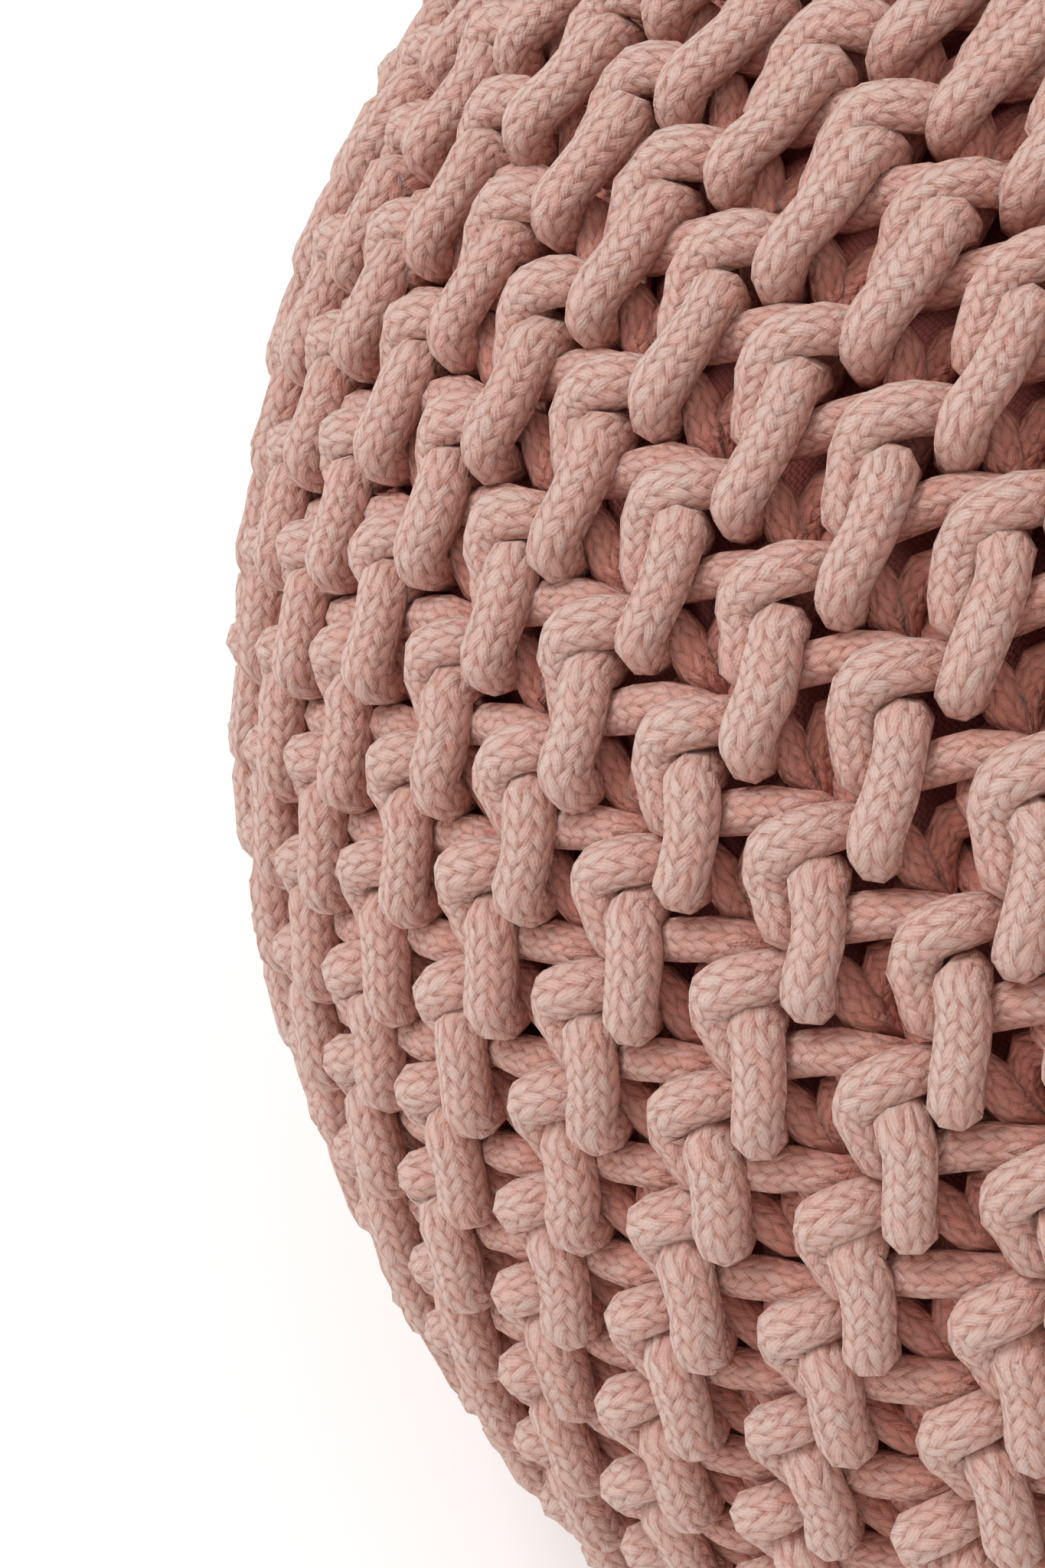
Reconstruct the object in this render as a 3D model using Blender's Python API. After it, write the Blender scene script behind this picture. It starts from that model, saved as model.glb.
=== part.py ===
"""Round knitted pouf: a ribbed cotton-rope cover drawn over a filled inner casing.

Two closed solids, in metres, +Z up, standing on z = 0 with the axis of the
pouf on the Z axis:

  knitted_cover  hollow shell, one crest for each knitted ridge running from
                 the drawn-in eye at the top down to the flat underside
  inner_casing   the filled cloth casing that shows between the stitches
"""

import math

import bmesh
import bpy

# ---------------------------------------------------------------- sizes
POUF_RADIUS = 0.250          # waist radius over the crests of the ridges
WAIST_HEIGHT = 0.180         # height of the widest line above the floor
CROWN_HEIGHT = 0.200         # rise of the top above the waist
CROWN_POWER = 0.93           # 1 is an ellipse, less is a squarer shoulder

ROPE_DIAMETER = 0.008        # braided cotton rope of the cover
KNIT_THICKNESS = 3.0 * ROPE_DIAMETER
RIDGE_COUNT = 56             # ridges at the waist; every fourth one reaches the eye
RIDGE_DEPTH = 0.75 * ROPE_DIAMETER

EYE_RADIUS = 0.012           # drawn-in eye where the ridges meet at the top
EYE_DIP = 0.009              # how far the cover sinks towards the eye
EYE_DIP_REACH = 0.055        # radius at which the top starts to sink
CASING_GAP = 0.0006          # clearance between cover and casing

# Every second ridge runs out on the way up, and higher up every second of the
# rest. Each pair gives the shares of the waist radius between which the
# ending ridges sink into the hollows beside them.
FIRST_RIDGE_FADE = (0.64, 0.52)
SECOND_RIDGE_FADE = (0.33, 0.25)

SIDE_RINGS = 13              # rings from the base edge to the first ridge stop
SHOULDER_RINGS = 4           # rings between the two ridge stops
CROWN_RINGS = 4              # rings from the second ridge stop to the eye
INNER_RINGS = 12             # rings of each smooth inner surface

COVER_COLOUR = (0.46, 0.245, 0.205, 1.0)
CASING_COLOUR = (0.19, 0.075, 0.075, 1.0)


# ---------------------------------------------------------------- outline
def crown_radius_at(angle, inset=0.0):
    """Radius of the pouf at an angle above (+) or below (-) the waist."""
    return (POUF_RADIUS - inset) * max(math.cos(angle), 0.0) ** CROWN_POWER


def crown_height_at(angle, inset=0.0):
    """Height above the floor at the same angle."""
    rise = (CROWN_HEIGHT - inset) * abs(math.sin(angle)) ** CROWN_POWER
    return WAIST_HEIGHT + math.copysign(rise, angle)


def angle_at_radius(radius, inset=0.0):
    """Angle above the waist at which the outline has the given radius."""
    return math.acos((radius / (POUF_RADIUS - inset)) ** (1.0 / CROWN_POWER))


def angle_at_base(base_height, inset=0.0):
    """Angle below the waist at which the outline meets a level plane."""
    drop = (WAIST_HEIGHT - base_height) / (CROWN_HEIGHT - inset)
    return -math.asin(drop ** (1.0 / CROWN_POWER))


def eye_sink(radius):
    """Smooth dip of the top towards the eye."""
    if radius >= EYE_DIP_REACH:
        return 0.0
    return EYE_DIP * 0.5 * (1.0 + math.cos(math.pi * radius / EYE_DIP_REACH))


def spread(first, last, count):
    """Evenly spaced values from first to last, both included."""
    return [first + (last - first) * step / (count - 1) for step in range(count)]


# ---------------------------------------------------------------- rings
def plain_ring(bm, radius, height, corners):
    """A level ring of vertices."""
    ring = []
    for index in range(corners):
        turn = 2.0 * math.pi * index / corners
        ring.append(bm.verts.new((radius * math.sin(turn), -radius * math.cos(turn), height)))
    return ring


def ramp(value, start, stop):
    """0 at start, 1 at stop, straight in between and level outside."""
    return min(1.0, max(0.0, (value - start) / (stop - start)))


def ridge_wave(turn, ridges):
    """0 on the crest of a ridge, 1 in the hollow halfway to the next."""
    share = (turn * ridges / (2.0 * math.pi)) % 1.0
    return 1.0 - abs(1.0 - 2.0 * share)


def hollow_depth(turn, radius):
    """How far the outside lies under the crests of the ridges."""
    first = ramp(radius / POUF_RADIUS, *FIRST_RIDGE_FADE)
    second = ramp(radius / POUF_RADIUS, *SECOND_RIDGE_FADE)
    all_ridges = ridge_wave(turn, RIDGE_COUNT)
    half_of_them = ridge_wave(turn, RIDGE_COUNT // 2)
    quarter_of_them = ridge_wave(turn, RIDGE_COUNT // 4)
    wave = all_ridges + (half_of_them - all_ridges) * first
    wave += (quarter_of_them - half_of_them) * second
    eye_fade = min(1.0, radius / EYE_DIP_REACH)
    return RIDGE_DEPTH * wave * eye_fade


def ridged_ring(bm, angle, corners):
    """A ring of the outside, with its crests and hollows."""
    radius = crown_radius_at(angle)
    height = crown_height_at(angle) - eye_sink(radius)
    ring = []
    for index in range(corners):
        turn = 2.0 * math.pi * index / corners
        depth = hollow_depth(turn, radius if angle > 0.0 else POUF_RADIUS)
        here = radius - depth * math.cos(angle)
        level = height - depth * math.sin(angle)
        ring.append(bm.verts.new((here * math.sin(turn), -here * math.cos(turn), level)))
    return ring


def join_rings(bm, lower, upper):
    """Faces between two rings; the upper one may have half the vertices."""
    count = len(upper)
    step = len(lower) // count
    for index in range(count):
        after = (index + 1) % count
        first = lower[step * index]
        last = lower[(step * index + step) % len(lower)]
        if step == 1:
            bm.faces.new((first, last, upper[after], upper[index]))
        else:
            middle = lower[step * index + 1]
            bm.faces.new((first, middle, upper[index]))
            bm.faces.new((middle, last, upper[after], upper[index]))


def join_stack(bm, rings):
    """Faces between each ring of a list and the next."""
    for lower, upper in zip(rings, rings[1:]):
        join_rings(bm, lower, upper)


# ---------------------------------------------------------------- pieces
def finish_object(bm, name, material):
    """Turn a closed bmesh into a smooth-shaded object with one material."""
    bmesh.ops.recalc_face_normals(bm, faces=bm.faces)
    mesh = bpy.data.meshes.new(name)
    bm.to_mesh(mesh)
    bm.free()
    mesh.materials.append(material)
    mesh.shade_smooth()
    mesh.set_sharp_from_angle(angle=math.radians(35.0))
    piece = bpy.data.objects.new(name, mesh)
    bpy.context.scene.collection.objects.link(piece)
    return piece


def cloth_material(name, colour, roughness):
    """A plain cloth finish."""
    material = bpy.data.materials.new(name)
    material.use_nodes = True
    shader = material.node_tree.nodes["Principled BSDF"]
    shader.inputs["Base Color"].default_value = colour
    shader.inputs["Roughness"].default_value = roughness
    shader.inputs["Metallic"].default_value = 0.0
    return material


def outer_rings(bm):
    """The ridged outside of the cover, from the base edge up to the eye."""
    base = angle_at_base(0.0)
    first_stop = angle_at_radius(POUF_RADIUS * FIRST_RIDGE_FADE[1])
    second_stop = angle_at_radius(POUF_RADIUS * SECOND_RIDGE_FADE[1])
    eye = angle_at_radius(EYE_RADIUS)

    # two corners for each ridge that is still running
    rings = []
    for angle in spread(base, first_stop, SIDE_RINGS):
        rings.append(ridged_ring(bm, angle, 2 * RIDGE_COUNT))
    for angle in spread(first_stop, second_stop, SHOULDER_RINGS + 1)[1:]:
        rings.append(ridged_ring(bm, angle, RIDGE_COUNT))
    for angle in spread(second_stop, eye, CROWN_RINGS + 1)[1:]:
        rings.append(ridged_ring(bm, angle, RIDGE_COUNT // 2))

    # the base edge is cut level, so that the underside is one flat face
    for vertex in rings[0]:
        vertex.co.z = 0.0
    return rings


def smooth_rings(bm, inset, top_radius, corners):
    """A smooth surface inside the outline, from its flat bottom to its top."""
    bottom = angle_at_base(inset, inset)
    top = angle_at_radius(top_radius, inset)
    rings = []
    for angle in spread(bottom, top, INNER_RINGS):
        radius = crown_radius_at(angle, inset)
        height = crown_height_at(angle, inset) - eye_sink(radius)
        rings.append(plain_ring(bm, radius, height, corners))
    for vertex in rings[0]:
        vertex.co.z = inset
    return rings


def make_cover(material):
    """The knitted cover: ridged outside, smooth inside, open at the eye."""
    bm = bmesh.new()
    outside = outer_rings(bm)
    join_stack(bm, outside)
    bm.faces.new(outside[0])

    inside = smooth_rings(bm, KNIT_THICKNESS, EYE_RADIUS, RIDGE_COUNT)
    join_stack(bm, inside)
    bm.faces.new(inside[0])

    # the wall of the eye joins the inside to the outside
    join_rings(bm, inside[-1], outside[-1])
    return finish_object(bm, "knitted_cover", material)


def make_casing(material):
    """The filled casing: one closed solid that fills the cover."""
    bm = bmesh.new()
    inset = KNIT_THICKNESS + CASING_GAP
    rings = smooth_rings(bm, inset, EYE_RADIUS, RIDGE_COUNT)
    join_stack(bm, rings)
    bm.faces.new(rings[0])
    bm.faces.new(rings[-1])
    return finish_object(bm, "inner_casing", material)


def main():
    """Clear the scene and build the pouf."""
    for thing in list(bpy.data.objects):
        bpy.data.objects.remove(thing, do_unlink=True)
    make_cover(cloth_material("cotton_rope", COVER_COLOUR, 0.9))
    make_casing(cloth_material("casing_cloth", CASING_COLOUR, 0.85))


main()
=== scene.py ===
import bpy
import math
import numpy as np
from mathutils import Matrix, Vector


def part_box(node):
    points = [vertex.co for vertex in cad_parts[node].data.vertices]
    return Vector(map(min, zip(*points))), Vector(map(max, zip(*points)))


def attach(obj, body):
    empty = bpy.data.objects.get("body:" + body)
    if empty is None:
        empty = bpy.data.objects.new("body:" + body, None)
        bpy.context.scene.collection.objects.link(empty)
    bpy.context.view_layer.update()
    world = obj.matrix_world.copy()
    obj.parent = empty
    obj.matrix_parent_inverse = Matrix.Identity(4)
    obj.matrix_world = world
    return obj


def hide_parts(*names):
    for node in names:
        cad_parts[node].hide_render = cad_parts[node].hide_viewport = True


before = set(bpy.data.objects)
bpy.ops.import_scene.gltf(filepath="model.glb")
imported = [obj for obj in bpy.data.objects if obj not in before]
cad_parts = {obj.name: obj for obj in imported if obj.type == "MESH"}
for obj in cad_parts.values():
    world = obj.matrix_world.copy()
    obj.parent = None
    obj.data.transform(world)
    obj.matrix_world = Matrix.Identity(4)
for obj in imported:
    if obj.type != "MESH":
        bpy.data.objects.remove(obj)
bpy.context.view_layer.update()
coverLow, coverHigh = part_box("knitted_cover")
print("frame loaded, cover", [round(v, 4) for v in coverHigh - coverLow])


# The body of the pouf: the line that the crests of the ridges follow.

body = {
    "radius": 0.250,            # at the waist
    "waistHeight": 0.180,
    "crownHeight": 0.200,       # rise of the top over the waist, before the eye dips
    "crownPower": 0.93,         # 1 is an ellipse, less is squarer
    "eyeDip": 0.009,
    "eyeDipReach": 0.055,
    "eyeRim": 0.024,            # radius at which the ridges turn down into the eye
    "throatRadius": 0.013,
    "throatDepth": 0.030,
    "cornerSoftness": 0.005,    # how widely corners of the line are rounded
    "step": 0.0005,
}


# Half outline from the throat of the top eye to the throat of the one underneath.
# Superellipse: radius = R cos^p, height = waist + H sin^p, cut level at the floor.
def crestLine():
    b = body
    drop = b["waistHeight"] / b["crownHeight"]
    low = -math.asin(drop ** (1 / b["crownPower"]))
    high = math.acos((b["eyeRim"] / b["radius"]) ** (1 / b["crownPower"]))
    angle = np.linspace(high, low, 1500)
    r = b["radius"] * np.cos(angle) ** b["crownPower"]
    z = b["waistHeight"] + np.sign(angle) * b["crownHeight"] * np.abs(np.sin(angle)) ** b["crownPower"]
    near = np.clip(r / b["eyeDipReach"], 0, 1)
    z = z - b["eyeDip"] * 0.5 * (1 + np.cos(np.pi * near))
    r = np.concatenate([[b["throatRadius"]], r, [b["eyeRim"], b["throatRadius"]]])
    z = np.concatenate([[z[0] - b["throatDepth"]], z, [0.0, b["throatDepth"]]])
    # even steps along the line, then a soft rounding of its corners
    run = np.concatenate([[0], np.cumsum(np.hypot(np.diff(r), np.diff(z)))])
    even = np.arange(0, run[-1], b["step"])
    r, z = np.interp(even, run, r), np.interp(even, run, z)
    reach = int(4 * b["cornerSoftness"] / b["step"])      # the rounding is nil past four times its width
    blur = np.exp(-0.5 * (np.arange(-reach, reach + 1) * b["step"] / b["cornerSoftness"]) ** 2)
    blur /= blur.sum()
    r = np.convolve(np.pad(r, reach, mode="reflect", reflect_type="odd"), blur, "valid")
    z = np.convolve(np.pad(z, reach, mode="reflect", reflect_type="odd"), blur, "valid")
    # length along the line, 0 at the waist and growing downwards
    run = np.concatenate([[0], np.cumsum(np.hypot(np.diff(r), np.diff(z)))])
    run -= run[np.argmax(r)]
    slopeR, slopeZ = np.gradient(r, run), np.gradient(z, run)
    size = np.hypot(slopeR, slopeZ)
    return run, r, z, -slopeZ / size, slopeR / size


lineRun, lineR, lineZ, lineOutR, lineOutZ = crestLine()


# The knit: two courses of rope to each ridge.

knit = {
    "rope": 0.0082,             # diameter of the braided rope
    "unit": 0.0080,             # unit that the loops are laid out in: the rope where it is pressed
    "ridges": 56,
    "width": 3.5,               # ridge to ridge at the waist
    "height": 2.83,             # stitch height that the loops below are drawn for
    "depth": 1.95,              # front layer to inner layer
    "ridgeMiddle": -0.47,       # where the middle of the ridge lies across the loops
    "lean": 0.0282,             # how far the stitches drift along the ridge round the body
    "leanTurn": -1.034,         # where round the body that drift is nil
    "rowAtReference": 3.61,     # row of stitches that lies at the length below from the waist
    "referenceRun": -0.154,
    "archSamples": 27,          # rings of rope to one loop of each course
    "barSamples": 21,
    "sides": 8,
    "panels": 8,
    "loopWobble": 0.060,        # how much whole loops differ, in rope diameters
    "pointWobble": 0.035,       # how much the rope wavers within a loop
    "wobbleShares": (1.0, 1.2, 0.5),    # of whole loops: across, along and out
    "swell": 0.050,             # unevenness of the rope's thickness
    "pull": 0.20,               # how much thinner the rope is where it is pulled tight inside
    "pullDepths": (-0.3, -1.0), # from nothing to all of that
    "rowMargin": 0.3,           # rows of the line left without rope at both its ends
    "group": 4,                 # ridges that end by the same pattern
    "endRadii": (0.50, 0.65),   # shares of the waist radius between which every other ridge narrows
    "innerEndRadii": (0.24, 0.34),      # the same for one more in four
    "endWidth": 0.45,           # share of its width at which a short ridge ends
    "endFade": 0.30,            # and over how much more of its width it sinks in
    "endDepth": 0.25,           # share of its depth that it keeps there
    "endThickness": 0.80,       # share of the rope's thickness in the narrowest ridges
    "seed": 11,
}

# how the rings of rope are shared out over a loop
spread = {
    "even": 0.45,               # of the rings, without regard to bends
    "sharpest": 3.0,            # curvature past which a bend gets no more
    "hidden": 0.20,             # weight of what lies inside the knit
    "hiddenDepth": -1.8,
    "shownDepth": -0.8,
    "checks": 1001,
}

# how near the crests a point of the rope is, from its depth and the way its side faces; it sets where the
# rope's colour is painted paler as painted light or redder as painted shade
crestShade = {"facing": 0.55, "lowest": -2.0, "range": 2.5}


def smooth(share):
    return share * share * (3 - 2 * share)


# stitch height as a share of the radius, at lengths from the waist in the same share:
# the knit is drawn wide open over the shoulder and sits closer towards the floor
stitchRun = np.array([-1.60, -1.30, -1.10, -0.90, -0.75, -0.62, -0.50, -0.39, -0.29, -0.20,
                      -0.11, -0.03, 0.055, 0.135, 0.30, 0.60, 0.90, 1.20, 1.60])
stitchHeight = np.array([0.090, 0.095, 0.108, 0.120, 0.127, 0.125, 0.117, 0.104, 0.095, 0.090,
                         0.086, 0.083, 0.080, 0.080, 0.080, 0.082, 0.088, 0.092, 0.095])
rowBlur = 80                    # steps of the line to each side over which the heights are evened out


# Rows counted along the line: their number grows by 1 over the height of a stitch.
def rowScale():
    run = lineRun / body["radius"]
    height = np.interp(run, stitchRun, stitchHeight)
    kernel = np.ones(2 * rowBlur + 1) / (2 * rowBlur + 1)
    height = np.convolve(np.pad(height, rowBlur, mode="edge"), kernel, "valid")
    rows = np.concatenate([[0], np.cumsum(np.diff(run) * 0.5 * (1 / height[1:] + 1 / height[:-1]))])
    return rows - np.interp(knit["referenceRun"], run, rows) + knit["rowAtReference"]


lineRow = rowScale()

# One loop of each course, in units of the layout: across the ridge, up the ridge, outwards
# from the crest line. The arch course bends round to the left in front, runs to the right
# under the next bar and drops into the inner layer; the bar course stands in front of it,
# hooks in under itself and turns back through the inner layer on the left.
inner = -knit["depth"]
archLoop = np.array([
    (0.88, 0.95, -1.62),
    (1.03, 1.13, -1.60),
    (0.83, 1.24, -1.42),
    (0.48, 1.40, -1.22),
    (0.13, 1.58, -1.12),
    (-0.32, 1.66, -1.10),
    (-0.80, 1.49, -0.90),
    (-1.10, 1.29, -0.50),
    (-1.34, 1.04, -0.17),
    (-1.64, 0.68, -0.07),
    (-1.75, 0.36, -0.21),
    (-1.67, 0.04, -0.31),
    (-1.40, -0.28, -0.49),
    (-1.12, -0.61, -0.57),
    (-0.84, -0.53, -0.90),
    (-0.45, -0.23, -0.97),
    (0.05, 0.11, -0.85),
    (0.57, 0.53, -0.82),
    (1.17, 0.80, -0.88),
    (1.58, 0.93, -1.09),
    (1.71, 0.78, -1.50),
    (1.48, 0.31, -1.88),
    (1.00, -0.29, -1.81),
    (0.52, -0.67, -1.53),
    (0.64, -1.23, -1.49),
])
barLoop = np.array([
    (-0.74, 0.30, -0.20),
    (-0.56, 0.15, -0.15),
    (-0.33, -0.22, -0.13),
    (-0.14, -0.64, -0.11),
    (0.00, -1.11, -0.07),
    (0.03, -1.45, -0.20),
    (-0.10, -1.68, -0.62),
    (-0.44, -1.79, -1.22),
    (-1.02, -1.64, -1.60),
    (-1.67, -1.31, -1.84),
    (-2.38, -1.09, -2.07),
    (-3.06, -1.17, -2.11),
    (-3.35, -1.58, -1.96),
    (-3.29, -2.10, -1.83),
    (-2.90, -2.56, -1.54),
    (-2.32, -2.76, -1.21),
    (-1.74, -2.65, -1.11),
    (-1.22, -2.52, -0.99),
    (-0.89, -2.48, -0.61),
])


# Uniform cubic spline: the four neighbouring points of each place, and their weights.
def splineWeights(at):
    first = np.floor(at).astype(int)
    t = (at - first)[:, None]
    w = np.concatenate([(1 - t) ** 3, 3 * t ** 3 - 6 * t ** 2 + 4,
                        -3 * t ** 3 + 3 * t ** 2 + 3 * t + 1, t ** 3], 1) / 6
    return first[:, None] + np.arange(-1, 3), w


# Spline points that make the smooth curve pass through the points of the loop.
# What repeats is solved apart from the steady step down from loop to loop.
def loopControls(loop):
    count = len(loop)
    drift = np.outer(np.arange(count) / count, (0, -knit["height"], 0))
    matrix = (np.eye(count) * 4 + np.roll(np.eye(count), 1, 0) + np.roll(np.eye(count), -1, 0)) / 6
    return np.linalg.solve(matrix, loop - drift) + drift


# Places along the loop for the rings of rope, closer where it bends and where it shows.
def samplePlaces(controls, samples):
    count = len(controls)
    step = np.array([0, -knit["height"], 0])
    wide = np.concatenate([controls - step, controls, controls + step, controls + 2 * step])
    at = np.linspace(0, count, spread["checks"])
    index, weight = splineWeights(at + count)
    line = (wide[index] * weight[..., None]).sum(1)
    pace = np.gradient(line, at, axis=0)
    bend = np.gradient(pace, at, axis=0)
    speed = np.linalg.norm(pace, axis=1)
    curve = np.linalg.norm(np.cross(pace, bend), axis=1) / speed ** 3
    rise = spread["shownDepth"] - spread["hiddenDepth"]
    shown = np.clip((line[:, 2] - spread["hiddenDepth"]) / rise, 0, 1)
    bends = spread["even"] + np.clip(curve, 0, spread["sharpest"])
    need = speed * bends * (spread["hidden"] + (1 - spread["hidden"]) * shown)
    total = np.concatenate([[0], np.cumsum(0.5 * (need[1:] + need[:-1]) * np.diff(at))])
    share = (np.arange(samples) + 0.5) / samples
    return np.interp(share * total[-1], total, at)


# Share of a full ridge's width that each of four neighbouring ridges keeps at a radius: two of
# the four end on the shoulder, one more towards the eye, and the first goes all the way.
def ridgeWidths(r):
    share = r / body["radius"]
    first, second = (smooth(np.clip((share - inside) / (outside - inside), 0, 1))
                     for inside, outside in (knit["endRadii"], knit["innerEndRadii"]))
    return np.stack([np.ones_like(r), first, second, first])


# Loop coordinates to metres: along the line by rows, round the body by ridge,
# and outwards from the crest line.
def placeRopes(ridge, row, across, outwards):
    b, k = body, knit
    turn0 = 2 * np.pi * ridge / k["ridges"]
    lean = k["lean"] * np.sin(turn0 - k["leanTurn"]) * b["radius"]
    run = np.interp(row, lineRow, lineRun) + lean
    r = np.interp(run, lineRun, lineR)
    z = np.interp(run, lineRun, lineZ)
    outR = np.interp(run, lineRun, lineOutR)
    outZ = np.interp(run, lineRun, lineOutZ)
    widths = ridgeWidths(r)
    total = widths.sum(0)
    before = np.cumsum(widths, 0) - widths
    kind = np.mod(ridge, k["group"]).astype(int)
    flat = np.broadcast_to(kind, r.shape)
    own = np.take_along_axis(widths, flat[None], 0)[0]
    ahead = np.take_along_axis(before, flat[None], 0)[0]
    middle = (ahead + own / 2 - 0.5) / total
    share = (across - k["ridgeMiddle"]) / k["width"] * own / total
    group = np.floor(ridge / k["group"])
    turn = 2 * np.pi / (k["ridges"] / k["group"]) * (group + middle + share)
    depth = (outwards - 0.5) * k["unit"]        # the highest rope touches the crest line from inside
    r = r + outR * depth
    z = z + outZ * depth
    return np.stack([r * np.sin(turn), -r * np.cos(turn), z], -1), own


courses = []
for loop, samples in ((archLoop, knit["archSamples"]), (barLoop, knit["barSamples"])):
    controls = loopControls(loop)
    courses.append((controls, samplePlaces(controls, samples)))


# Centre line and thickness of one rope, every loop a little different from the next.
def courseLine(ridge, course, rng):
    k = knit
    controls, places = courses[course]
    count = len(controls)
    rows = np.arange(math.ceil(lineRow[0]) - 2, math.floor(lineRow[-1]) + 3)
    points = controls[None] + np.array([0, -k["height"], 0]) * rows[:, None, None]
    whole = np.array(k["wobbleShares"]) * k["loopWobble"]
    points = points + rng.normal(0, 1, (len(rows), 1, 3)) * whole
    points = (points + rng.normal(0, k["pointWobble"], points.shape)).reshape(-1, 3)
    at = (np.arange(1, len(rows) - 2)[:, None] * count + places[None]).ravel()
    index, weight = splineWeights(at)
    line = (points[index] * weight[..., None]).sum(1)
    row = -line[:, 1] / k["height"]
    inside = (row > lineRow[0] + k["rowMargin"]) & (row < lineRow[-1] - k["rowMargin"])
    line, row = line[inside], row[inside]
    place, own = placeRopes(ridge, row, line[:, 0], line[:, 2])
    live = own > k["endWidth"]
    # the part that is still there, in one stretch about the waist
    waistRow = np.interp(0, lineRun, lineRow)
    centre = int(np.argmin(np.abs(row - waistRow)))
    stop = centre + np.argmin(np.append(live[centre:], False))
    start = centre - np.argmin(np.append(live[:centre + 1][::-1], False)) + 1
    line, row, own = line[start:stop], row[start:stop], own[start:stop]
    ease = smooth(np.clip((own - k["endWidth"]) / k["endFade"], 0, 1))
    outwards = inner + (line[:, 2] - inner) * (k["endDepth"] + (1 - k["endDepth"]) * ease)
    place, own = placeRopes(ridge, row, line[:, 0], outwards)
    loose, taut = k["pullDepths"]
    tight = smooth(np.clip((loose - outwards) / (loose - taut), 0, 1))
    thickness = k["endThickness"] + (1 - k["endThickness"]) * own
    radius = 0.5 * k["rope"] * thickness * (1 - k["pull"] * tight)
    swell = np.convolve(rng.normal(0, 1, len(radius) + 2), (0.25, 0.5, 0.25), "valid")
    return place, radius * (1 + k["swell"] * swell), outwards


# Directions across the rope that turn with it and never twist: each is the one before,
# carried over the bend to the next ring.
def ropeFrames(line):
    t = np.gradient(line, axis=0)
    t /= np.linalg.norm(t, axis=1)[:, None]
    helper = np.where(np.abs(t[:, 2:3]) < 0.8, (0.0, 0.0, 1.0), (1.0, 0.0, 0.0))
    side = np.cross(helper, t)
    side /= np.linalg.norm(side, axis=1)[:, None]
    other = np.cross(t, side)
    axis = np.cross(t[:-1], t[1:])
    close = (t[:-1] * t[1:]).sum(1)[:, None]
    carried = side[:-1] * close + np.cross(axis, side[:-1])
    carried += axis * (axis * side[:-1]).sum(1)[:, None] / (1 + close)
    angle = np.arctan2((carried * other[1:]).sum(1), (carried * side[1:]).sum(1))
    angle = np.concatenate([[0], np.cumsum(angle)])[:, None]
    return np.cos(angle) * side + np.sin(angle) * other, np.cos(angle) * other - np.sin(angle) * side


# Round profile carried along the centre line, with its ends closed. Gives points, faces
# by their corners, the rope's own map (round it, and along it) and how near each point is
# to the crests: 1 on them, 0 on the inside of the knit.
def ropeTube(line, radius, outwards, sides):
    first, second = ropeFrames(line)
    turn = 2 * np.pi * np.arange(sides) / sides
    ring = np.cos(turn)[None, :, None] * first[:, None] + np.sin(turn)[None, :, None] * second[:, None]
    points = line[:, None] + ring * radius[:, None, None]
    away = line / (body["radius"], body["radius"], body["crownHeight"])
    away[:, 2] -= body["waistHeight"] / body["crownHeight"]
    away /= np.linalg.norm(away, axis=1)[:, None]
    # sides that face outwards count as nearer the crests, so they are painted paler, as painted light
    facing = (ring * away[:, None]).sum(2)
    c = crestShade
    crest = np.clip((outwards[:, None] + c["facing"] * facing - c["lowest"]) / c["range"], 0, 1)
    count = len(line)
    a = np.arange(count - 1)[:, None] * sides + np.arange(sides)[None]
    b = np.arange(count - 1)[:, None] * sides + (np.arange(sides)[None] + 1) % sides
    quads = np.stack([a, b, b + sides, a + sides], -1).reshape(-1, 4)
    run = np.concatenate([[0], np.cumsum(np.linalg.norm(np.diff(line, axis=0), axis=1))]) / knit["rope"]
    u = np.arange(sides)[None] / sides + 0 * a
    v = run[:-1, None] + 0 * a
    w = run[1:, None] + 0 * a
    mapU = np.stack([u, u + 1 / sides, u + 1 / sides, u], -1).reshape(-1)
    mapV = np.stack([v, v, w, w], -1).reshape(-1)
    return points.reshape(-1, 3), quads, np.stack([mapU, mapV], -1), crest.ravel(), count


# One mesh from many tubes, put in as whole arrays.
def joinTubes(name, tubes, sides):
    points, corners, maps, crests, starts = [], [], [], [], []
    offset, corner = 0, 0
    for tubePoints, quads, tubeMap, crest, count in tubes:
        points.append(tubePoints)
        crests.append(crest)
        corners.append((quads + offset).ravel())
        starts.append(corner + 4 * np.arange(len(quads)))
        corner += 4 * len(quads)
        maps.append(tubeMap)
        last = offset + (count - 1) * sides
        for cap in (offset + np.arange(sides)[::-1], last + np.arange(sides)):
            corners.append(cap)
            starts.append(np.array([corner]))
            corner += sides
            maps.append(np.zeros((sides, 2)))
        offset += len(tubePoints)
    mesh = bpy.data.meshes.new(name)
    points = np.concatenate(points)
    corners = np.concatenate(corners)
    starts = np.concatenate(starts)
    mesh.vertices.add(len(points))
    mesh.vertices.foreach_set("co", points.astype(np.float32).ravel())
    mesh.loops.add(len(corners))
    mesh.loops.foreach_set("vertex_index", corners.astype(np.int32))
    mesh.polygons.add(len(starts))
    mesh.polygons.foreach_set("loop_start", starts.astype(np.int32))
    mesh.update(calc_edges=True)
    layer = mesh.uv_layers.new(name="ropeMap")
    layer.data.foreach_set("uv", np.concatenate(maps).astype(np.float32).ravel())
    layer = mesh.attributes.new("crest", "FLOAT", "POINT")
    layer.data.foreach_set("value", np.concatenate(crests).astype(np.float32))
    mesh.shade_smooth()
    piece = bpy.data.objects.new(name, mesh)
    bpy.context.scene.collection.objects.link(piece)
    return piece


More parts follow.
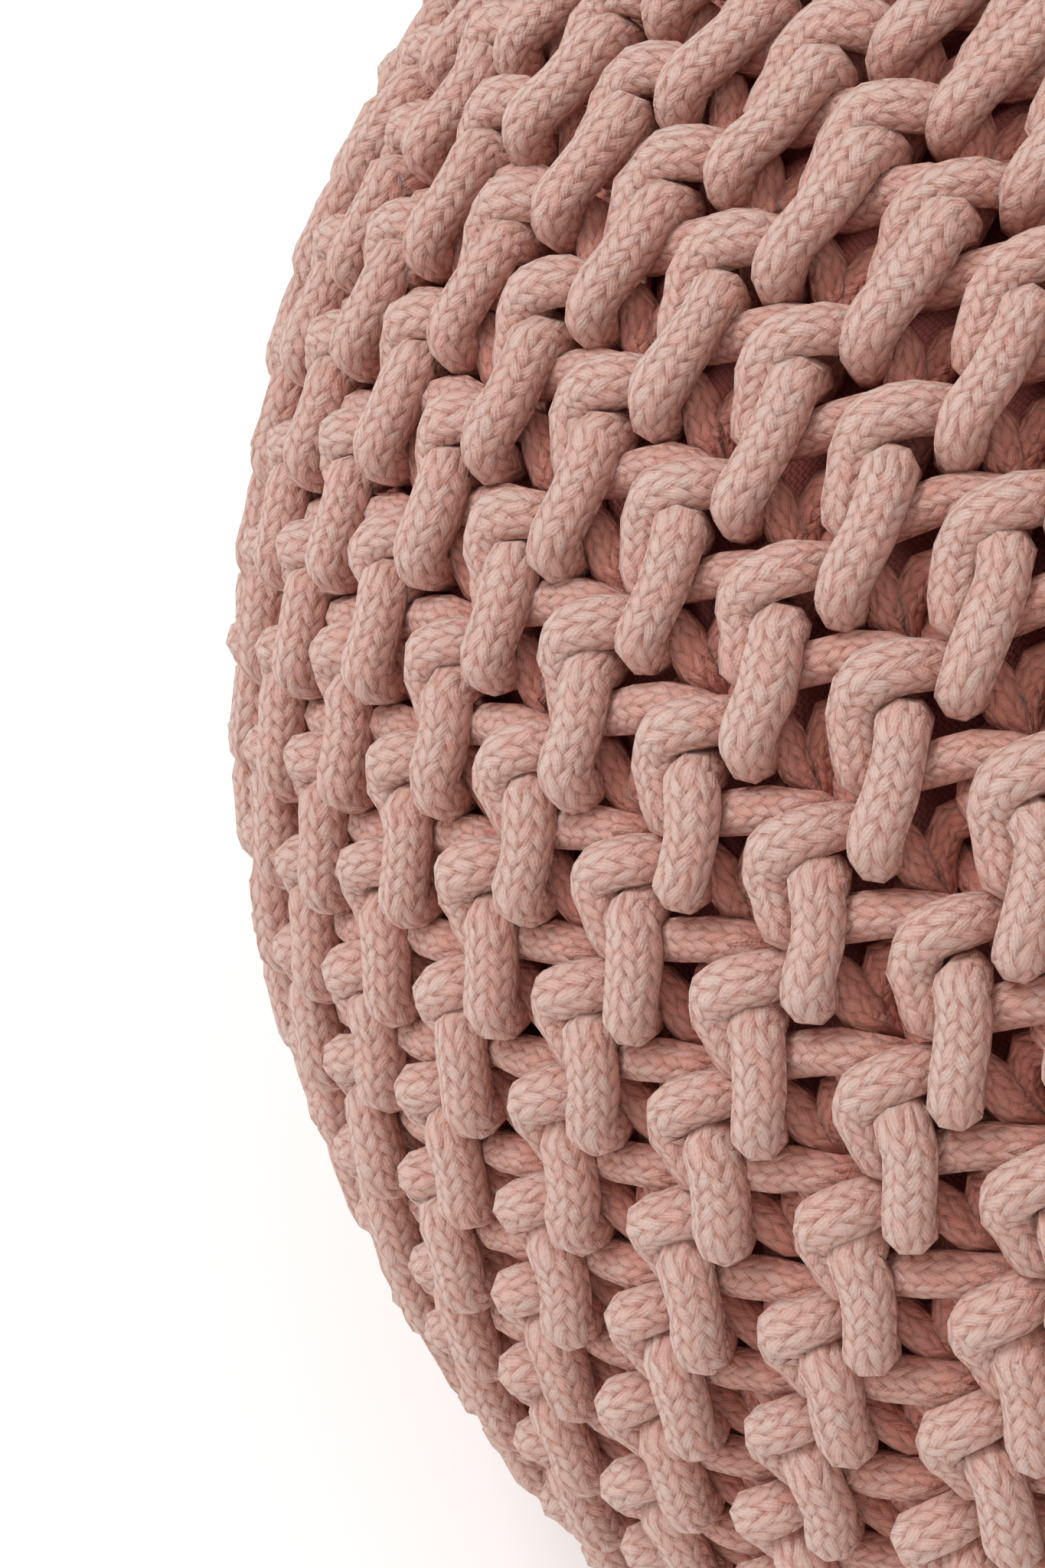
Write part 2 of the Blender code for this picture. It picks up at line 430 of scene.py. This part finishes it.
def makeKnit(material):
    rng = np.random.default_rng(knit["seed"])
    pieces = []
    perPanel = knit["ridges"] // knit["panels"]
    for panel in range(knit["panels"]):
        tubes = []
        for ridge in range(panel * perPanel, (panel + 1) * perPanel):
            for course in (0, 1):
                line, radius, outwards = courseLine(ridge, course, rng)
                tubes.append(ropeTube(line, radius, outwards, knit["sides"]))
        piece = joinTubes("knit_panel_%d" % (panel + 1), tubes, knit["sides"])
        piece.data.materials.append(material)
        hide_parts("knitted_cover")
        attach(piece, "root")
        pieces.append(piece)
    # a face with n corners is n - 2 triangles
    total = sum(len(p.data.loops) - 2 * len(p.data.polygons) for p in pieces)
    print("knit made,", total, "triangles")
    return pieces


# A new node; its inputs are set by name, as values or as links.
def node(tree, kind, **inputs):
    made = tree.nodes.new(kind)
    for key, value in inputs.items():
        socket = made.inputs[key]
        if isinstance(value, bpy.types.NodeSocket):
            tree.links.new(value, socket)
        else:
            socket.default_value = value
    return made


def maths(tree, operation, *values):
    made = tree.nodes.new("ShaderNodeMath")
    made.operation = operation
    for number, value in enumerate(values):
        if isinstance(value, bpy.types.NodeSocket):
            tree.links.new(value, made.inputs[number])
        else:
            made.inputs[number].default_value = value
    return made.outputs[0]


def mixColour(tree, share, first, second, blend="MIX"):
    made = tree.nodes.new("ShaderNodeMix")
    made.data_type = "RGBA"
    made.blend_type = blend
    for socket, value in ((made.inputs[0], share), (made.inputs[6], first), (made.inputs[7], second)):
        if isinstance(value, bpy.types.NodeSocket):
            tree.links.new(value, socket)
        else:
            socket.default_value = value
    return made.outputs[2]


def mixValue(tree, share, first, second):
    made = tree.nodes.new("ShaderNodeMix")
    tree.links.new(share, made.inputs[0])
    tree.links.new(first, made.inputs[2])
    tree.links.new(second, made.inputs[3])
    return made.outputs[0]


def mixVector(tree, share, first, second):
    made = tree.nodes.new("ShaderNodeMix")
    made.data_type = "VECTOR"
    tree.links.new(share, made.inputs[0])
    tree.links.new(first, made.inputs[4])
    tree.links.new(second, made.inputs[5])
    return made.outputs[1]


def clamp(tree, value):
    return maths(tree, "MINIMUM", maths(tree, "MAXIMUM", value, 0.0), 1.0)


ropeFinish = {
    "strands": 12,              # strands that wind each way round the rope, an even number
    "lay": 4.0,                 # rope diameters for one turn of a strand
    "plies": 3,
    "middle": 0.8,              # height of a strand's middle, in half strand widths
    "round": 1.9,               # how steeply it falls off to its sides
    "wave": 1.05,               # rise and fall of a strand over and under
    "soften": 0.30,             # how softly strands meet
    "wander": 0.9,              # how far strands stray, in strand widths
    "plySlant": 0.07,
    "plyWidth": 1.3,            # power of the crease: the higher, the finer
    "grain": (9.0, 1.3, 40.0),  # fibres: across a pick, along it, and from pick to pick
    # painted shade: the redder colour given to rope that lies deep inside the knit
    "paintedShadeRed": (0.850, 0.300, 0.225, 1),
    "colour": (0.800, 0.410, 0.330, 1),
    # painted light: the paler colour given to crests and to sides that face out
    "paintedLitPale": (0.775, 0.585, 0.525, 1),
    # painted shade: colour given to low places of the braid, creases between plies and fibre grooves
    "paintedCreaseShade": (0.470, 0.200, 0.150, 1),
    "fleck": (0.120, 0.045, 0.030, 1),
    "height": 0.00075,          # relief of half a strand width, in metres
    "translucence": 0.5,
    "glowReach": 0.0012,        # how far light spreads in the cotton
    "glowColours": (1.0, 0.35, 0.25),
    "roughness": 0.95,
    "specular": 0.03,
    "sheen": 0.25,
    "sheenRoughness": 0.45,
    "sheenTint": (1.0, 0.82, 0.76, 1),
}

# noises of the rope: fineness, detail and roughness
ropeNoise = {
    "wander": (200.0, 1.0, 0.5),
    "grain": (1.0, 2.0, 0.5),
    "lump": (520.0, 3.0, 0.6),
    "fuzz": (1700.0, 3.0, 0.7),
    "tone": (420.0, 5.0, 0.7),
}

# what each adds to the height
relief = {"ply": -0.12, "grain": 0.06, "lump": 1.10, "fuzz": 0.90}

# what each adds to the colour: shares of the paler painted light colour, of the redder painted shade
# colour, or of the painted crease shade colour
shading = {
    "blotches": 1.6,
    "ownTone": 0.35,
    "paintedLitShare": (0.45, 1.8),        # painted light: paler from this nearness to the crests up, and how fast
    "paintedInnerShade": (0.60, 2.2),        # painted shade: redder from this nearness down
    "low": (2.50, 0.85),        # painted crease shade: from this braid height down
    "streak": (0.50, 3.0),      # painted shade in fibre grooves: from this grain down
    # shares of the painted crease shade
    "lowShare": 0.85,
    "plyShare": 0.20,
    "streakShare": 0.06,
}

# small dark flecks of seed husk: fineness, share of places without one, size, ragged edge
flecks = {"scale": 800.0, "without": 0.80, "size": 1.6, "ragged": 0.5, "edge": 6.0, "share": 0.40}


def noise(tree, name, place):
    scale, detail, roughness = ropeNoise[name]
    made = node(tree, "ShaderNodeTexNoise", Vector=place, Scale=scale, Detail=detail, Roughness=roughness)
    return made.outputs


# Tubular braid, two over and two under. a = N (u + v / L) and b = N (u - v / L) count the
# strands of the two ways. A strand's height is a round across it, middle - round (a - i)^2, and
# a wave along it, cos(pi/2 (b + i - 1)); the other way has the same with the wave turned over,
# and the higher of the two is the one that shows: rows of picks, leaning left and right in turn.
def braidMaterial():
    f = ropeFinish
    material = bpy.data.materials.new("braided_cotton")
    material.use_nodes = True
    tree = material.node_tree
    shader = tree.nodes["Principled BSDF"]
    rope = node(tree, "ShaderNodeUVMap")
    rope.uv_map = "ropeMap"
    coords = node(tree, "ShaderNodeSeparateXYZ", Vector=rope.outputs[0])
    place = node(tree, "ShaderNodeTexCoord").outputs["Object"]
    m = lambda operation, *values: maths(tree, operation, *values)

    # the strands wander a little, so that no two picks are alike
    wander = node(tree, "ShaderNodeSeparateColor", Color=noise(tree, "wander", place)["Color"])
    driftA = m("MULTIPLY", m("SUBTRACT", wander.outputs[0], 0.5), f["wander"])
    driftB = m("MULTIPLY", m("SUBTRACT", wander.outputs[1], 0.5), f["wander"])
    around = m("MULTIPLY", coords.outputs[0], float(f["strands"]))
    along = m("MULTIPLY", coords.outputs[1], f["strands"] / f["lay"])
    a = m("ADD", m("ADD", around, along), driftA)
    b = m("ADD", m("SUBTRACT", around, along), driftB)

    # way is 0 for the strands of one way and 1 for the other; a wave is 4 strands long
    def strand(position, length, way):
        number = m("FLOOR", position)
        across = m("SUBTRACT", m("FRACT", position), 0.5)
        phase = m("SUBTRACT", m("ADD", length, number), 1.0 + 2.0 * way)
        rounded = m("SUBTRACT", f["middle"], m("MULTIPLY", m("MULTIPLY", across, across), f["round"]))
        wave = m("COSINE", m("MULTIPLY", phase, math.pi / 2))
        pick = m("ROUND", m("MULTIPLY", phase, 0.25))
        name = node(tree, "ShaderNodeCombineXYZ", X=m("FLOORED_MODULO", number, float(f["strands"])),
                    Y=m("SUBTRACT", pick, number), Z=7.0 * way)
        stretch = m("SUBTRACT", phase, m("MULTIPLY", pick, 4.0))
        return m("ADD", rounded, m("MULTIPLY", wave, f["wave"])), across, stretch, name.outputs[0]

    heightA, acrossA, stretchA, nameA = strand(a, b, 0.0)
    heightB, acrossB, stretchB, nameB = strand(b, a, 1.0)
    over = m("GREATER_THAN", heightA, heightB)
    dome = m("SMOOTH_MAX", heightA, heightB, f["soften"])
    across = mixValue(tree, over, acrossB, acrossA)
    stretch = mixValue(tree, over, stretchB, stretchA)
    name = mixVector(tree, over, nameB, nameA)
    own = node(tree, "ShaderNodeTexWhiteNoise", Vector=name).outputs["Value"]

    # plies lie side by side in a pick; fibres are drawn out along it; fuzz is over all
    twisted = m("ADD", across, m("MULTIPLY", stretch, f["plySlant"]))
    ply = m("ABSOLUTE", m("SINE", m("MULTIPLY", twisted, math.pi * f["plies"])))
    plyCrease = m("POWER", m("SUBTRACT", 1.0, ply), f["plyWidth"])
    grainAcross, grainAlong, grainOwn = f["grain"]
    grain = node(tree, "ShaderNodeCombineXYZ", X=m("MULTIPLY", across, grainAcross),
                 Y=m("MULTIPLY", stretch, grainAlong), Z=m("MULTIPLY", own, grainOwn))
    grain = noise(tree, "grain", grain.outputs[0])[0]
    lump = noise(tree, "lump", place)[0]
    fuzz = noise(tree, "fuzz", place)[0]
    height = dome
    for part, share in ((plyCrease, relief["ply"]), (grain, relief["grain"]),
                        (lump, relief["lump"]), (fuzz, relief["fuzz"])):
        height = m("ADD", height, m("MULTIPLY", part, share))

    # painted light and shade: crests are painted paler and what lies deeper a shaded red; every pick has
    # its own tone, and all is blotchy
    crest = node(tree, "ShaderNodeAttribute")
    crest.attribute_name = "crest"
    near = crest.outputs["Fac"]
    tone = noise(tree, "tone", place)[0]
    c = shading
    above = lambda value, row: m("MULTIPLY", m("SUBTRACT", value, row[0]), row[1])
    below = lambda value, row: m("MULTIPLY", m("SUBTRACT", row[0], value), row[1])
    shade = m("MULTIPLY", m("SUBTRACT", tone, 0.5), c["blotches"])
    shade = m("ADD", shade, m("MULTIPLY", m("SUBTRACT", own, 0.5), c["ownTone"]))
    # painted light: paler near the crests and where the side faces out, with the rope's own blotchy tone on
    # top; painted shade: redder deep in the knit
    paintedLitShare = m("ADD", above(near, c["paintedLitShare"]), shade)
    colour = mixColour(tree, clamp(tree, paintedLitShare), f["colour"], f["paintedLitPale"])
    colour = mixColour(tree, clamp(tree, below(near, c["paintedInnerShade"])), colour, f["paintedShadeRed"])
    # painted shade: low places of the braid, the creases between plies and the fibre grooves get the crease
    # colour
    low = clamp(tree, below(height, c["low"]))
    streak = clamp(tree, below(grain, c["streak"]))
    dark = m("ADD", m("MULTIPLY", low, c["lowShare"]), m("MULTIPLY", plyCrease, c["plyShare"]))
    dark = clamp(tree, m("ADD", dark, m("MULTIPLY", streak, c["streakShare"])))
    colour = mixColour(tree, dark, colour, f["paintedCreaseShade"])
    spots = node(tree, "ShaderNodeTexVoronoi", Vector=place, Scale=flecks["scale"])
    chance = node(tree, "ShaderNodeSeparateColor", Color=spots.outputs["Color"]).outputs[0]
    size = above(chance, (flecks["without"], flecks["size"]))
    distance = m("ADD", spots.outputs["Distance"], above(fuzz, (0.5, flecks["ragged"])))
    fleck = clamp(tree, m("MULTIPLY", m("SUBTRACT", size, distance), flecks["edge"]))
    colour = mixColour(tree, m("MULTIPLY", fleck, flecks["share"]), colour, f["fleck"])

    bump = node(tree, "ShaderNodeBump", Height=height, Distance=f["height"], Strength=1.0)
    tree.links.new(colour, shader.inputs["Base Color"])
    tree.links.new(bump.outputs[0], shader.inputs["Normal"])
    for socket, value in (("Roughness", f["roughness"]), ("Specular IOR Level", f["specular"]),
                          ("Subsurface Weight", f["translucence"]), ("Subsurface Radius", f["glowColours"]),
                          ("Subsurface Scale", f["glowReach"]), ("Sheen Weight", f["sheen"]),
                          ("Sheen Roughness", f["sheenRoughness"]), ("Sheen Tint", f["sheenTint"])):
        shader.inputs[socket].default_value = value
    return material


casingFinish = {
    "colour": (0.320, 0.085, 0.070, 1),
    # painted shade: colour given where the threads dip between each other
    "dark": (0.240, 0.055, 0.045, 1),
    "threads": 0.0009,          # from thread to thread, in metres
    "relief": 0.0003,
    "reliefStrength": 0.8,
    "roughness": 0.85,
    "specular": 0.2,
}


# Plain weave: threads of the two ways as sine waves, over and under in turn, painted darker where they dip,
# as painted shade.
def weaveMaterial():
    f = casingFinish
    material = bpy.data.materials.new("casing_weave")
    material.use_nodes = True
    tree = material.node_tree
    shader = tree.nodes["Principled BSDF"]
    m = lambda operation, *values: maths(tree, operation, *values)
    cloth = node(tree, "ShaderNodeUVMap")
    cloth.uv_map = "clothMap"
    coords = node(tree, "ShaderNodeSeparateXYZ", Vector=cloth.outputs[0])
    rate = math.pi / f["threads"]
    x, y = m("MULTIPLY", coords.outputs[0], rate), m("MULTIPLY", coords.outputs[1], rate)
    sideX, sideY = m("ABSOLUTE", m("SINE", x)), m("ABSOLUTE", m("SINE", y))
    turnX, turnY = m("SIGN", m("SINE", x)), m("SIGN", m("SINE", y))
    over = m("GREATER_THAN", m("MULTIPLY", turnX, turnY), 0.0)
    height = m("ADD", m("MULTIPLY", sideX, over), m("MULTIPLY", sideY, m("SUBTRACT", 1.0, over)))
    # painted shade: darker towards the low sides of the threads
    colour = mixColour(tree, height, f["dark"], f["colour"])
    bump = node(tree, "ShaderNodeBump", Height=height, Distance=f["relief"],
                Strength=f["reliefStrength"])
    tree.links.new(colour, shader.inputs["Base Color"])
    tree.links.new(bump.outputs[0], shader.inputs["Normal"])
    shader.inputs["Roughness"].default_value = f["roughness"]
    shader.inputs["Specular IOR Level"].default_value = f["specular"]
    return material


# The filled casing under the knit.

casing = {
    "inset": 0.0246,
    "swell": 0.0016,            # how far the cloth rounds out between the ridges
    "swellStep": 0.012,         # length along the outline for a radian of that wave
    "swellsRound": 28,          # waves round the waist
    "flatRadius": 0.1,          # the waves fade out inside this radius
    "flatHeight": (0.04, 0.08), # and between these heights, downwards
    "rings": 60,
    "corners": 112,
}


# The same superellipse, set in by the thickness of the knit, closed at both poles.
# Between the ridges and rows the cloth swells: inset - swell * waves of both ways.
def makeCasing(material):
    b, c = body, casing
    inset = c["inset"]
    low = -math.asin(((b["waistHeight"] - inset) / (b["crownHeight"] - inset)) ** (1 / b["crownPower"]))
    angle = np.linspace(math.pi / 2, low, c["rings"])
    turn = 2 * np.pi * np.arange(c["corners"]) / c["corners"]
    r = (b["radius"] - inset) * np.maximum(np.cos(angle), 0) ** b["crownPower"]
    rise = np.sign(angle) * np.abs(np.sin(angle)) ** b["crownPower"]
    z = b["waistHeight"] + (b["crownHeight"] - inset) * rise
    z = z - b["eyeDip"] * 0.5 * (1 + np.cos(np.pi * np.clip(r / b["eyeDipReach"], 0, 1)))
    run = np.concatenate([[0], np.cumsum(np.hypot(np.diff(r), np.diff(z)))])
    outR, outZ = -np.gradient(z, run), np.gradient(r, run)
    wave = np.sin(run / c["swellStep"])[:, None] * np.sin(turn * c["swellsRound"])[None]
    nil, full = c["flatHeight"]
    fade = np.clip(r / c["flatRadius"], 0, 1) * np.clip((z - nil) / (full - nil), 0, 1)
    lift = c["swell"] * wave * fade[:, None]
    rr = r[:, None] + outR[:, None] * lift
    zz = z[:, None] + outZ[:, None] * lift
    points = np.stack([rr * np.sin(turn), -rr * np.cos(turn), zz], -1)
    points[0] = (0, 0, z[0])
    count = c["corners"]
    flat = points[1:].reshape(-1, 3)
    top, bottom = len(flat), len(flat) + 1
    flat = np.concatenate([flat, [(0, 0, z[0])], [(0, 0, z[-1])]])
    a = np.arange(c["rings"] - 2)[:, None] * count + np.arange(count)[None]
    d = np.arange(c["rings"] - 2)[:, None] * count + (np.arange(count)[None] + 1) % count
    quads = np.stack([a, a + count, d + count, d], -1).reshape(-1, 4)
    ring = np.arange(count)
    after = (ring + 1) % count
    last = (c["rings"] - 2) * count
    fans = [np.stack([ring * 0 + top, ring, after], -1),
            np.stack([ring * 0 + bottom, last + after, last + ring], -1)]
    faces = [tuple(q) for q in quads.tolist()] + [tuple(t) for fan in fans for t in fan.tolist()]
    mesh = bpy.data.meshes.new("filled_casing")
    mesh.from_pydata(flat.tolist(), [], faces)
    layer = mesh.uv_layers.new(name="clothMap")
    corner = np.zeros(len(mesh.loops), np.int32)
    mesh.loops.foreach_get("vertex_index", corner)
    around = np.concatenate([np.tile(turn, c["rings"] - 1), [0, 0]]) * (b["radius"] - inset)
    down = np.concatenate([np.repeat(run[1:], count), [0, run[-1]]])
    layer.data.foreach_set("uv", np.stack([around, down], -1)[corner].astype(np.float32).ravel())
    mesh.shade_smooth()
    piece = bpy.data.objects.new("filled_casing", mesh)
    bpy.context.scene.collection.objects.link(piece)
    piece.data.materials.append(material)
    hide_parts("inner_casing")
    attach(piece, "root")
    print("casing made,", len(faces), "faces")
    return piece


# Floor, light and camera.

studio = {
    "floor": (0.93, 0.95, 0.955, 1),
    "roughness": 0.9,
    "glow": 0.24,               # light of its own, so that the floor stays white
    "reach": 12.0,
    "world": 0.60,
    "worldColour": (1.0, 0.88, 0.84, 1),
    "lampColour": (0.93, 0.99, 1.0),
    "aim": (0, 0, 0.2),
    # each lamp's name, place, size and energy
    "lamps": (("key", (-1.5, -0.75, 2.3), 1.0, 35.0),
              ("fill", (0.4, -1.7, 2.3), 1.6, 7.5)),
}


def makeStudio():
    s = studio
    material = bpy.data.materials.new("pale_floor")
    material.use_nodes = True
    shader = material.node_tree.nodes["Principled BSDF"]
    shader.inputs["Base Color"].default_value = s["floor"]
    shader.inputs["Roughness"].default_value = s["roughness"]
    shader.inputs["Emission Color"].default_value = s["floor"]
    shader.inputs["Emission Strength"].default_value = s["glow"]
    mesh = bpy.data.meshes.new("floor")
    reach = s["reach"]
    corners = [(-reach, -reach, 0), (reach, -reach, 0), (reach, reach, 0), (-reach, reach, 0)]
    mesh.from_pydata(corners, [], [(0, 1, 2, 3)])
    mesh.materials.append(material)
    floor = bpy.data.objects.new("floor", mesh)
    bpy.context.scene.collection.objects.link(floor)

    world = bpy.data.worlds.new("studio")
    world.use_nodes = True
    sky = world.node_tree.nodes["Background"]
    sky.inputs[0].default_value = s["worldColour"]
    sky.inputs[1].default_value = s["world"]
    bpy.context.scene.world = world
    bpy.context.scene.view_settings.view_transform = "Standard"

    for name, place, size, energy in s["lamps"]:
        lamp = bpy.data.lights.new(name, "AREA")
        lamp.size = size
        lamp.energy = energy
        lamp.color = s["lampColour"]
        holder = bpy.data.objects.new(name, lamp)
        holder.location = place
        aim = Vector(s["aim"]) - Vector(place)
        holder.rotation_euler = aim.to_track_quat("-Z", "Y").to_euler()
        bpy.context.scene.collection.objects.link(holder)


view = {
    "distance": 3.496,          # in radii of the pouf, from the middle of its waist
    "height": 34.57,            # degrees over the waist
    "turn": -0.705,             # round the pouf from straight in front
    "yaw": -12.195,
    "pitch": -5.028,
    "roll": -17.157,
    "lens": 112.235,
    "sensor": 36.0,
    "near": 0.05,               # nothing nearer than this is drawn
}


# Looks at the middle of the pouf, then turns aside, up and round its own axis.
def makeCamera():
    v = view
    height, turn = math.radians(v["height"]), math.radians(v["turn"])
    yaw, pitch, roll = (math.radians(v[n]) for n in ("yaw", "pitch", "roll"))
    ahead = np.array([0, math.cos(height), -math.sin(height)])
    right = np.array([1.0, 0, 0])
    up = np.cross(right, ahead)
    a = math.cos(yaw) * right - math.sin(yaw) * ahead
    c = math.sin(yaw) * right + math.cos(yaw) * ahead
    b = math.cos(pitch) * up - math.sin(pitch) * c
    c = math.sin(pitch) * up + math.cos(pitch) * c
    a, b = math.cos(roll) * a - math.sin(roll) * b, math.sin(roll) * a + math.cos(roll) * b
    spin = Matrix.Rotation(turn, 4, "Z")
    place = -v["distance"] * body["radius"] * ahead
    frameAxes = Matrix([list(a) + [0], list(b) + [0], list(-c) + [0], [0, 0, 0, 1]]).transposed()
    lens = bpy.data.cameras.new("camera")
    lens.lens = v["lens"]
    lens.sensor_width = v["sensor"]
    lens.clip_start = v["near"]
    camera = bpy.data.objects.new("camera", lens)
    bpy.context.scene.collection.objects.link(camera)
    camera.matrix_world = (Matrix.Translation((0, 0, body["waistHeight"])) @ spin
                           @ Matrix.Translation(Vector(place)) @ frameAxes)
    bpy.context.scene.camera = camera


makeKnit(braidMaterial())
makeCasing(weaveMaterial())
makeStudio()
makeCamera()
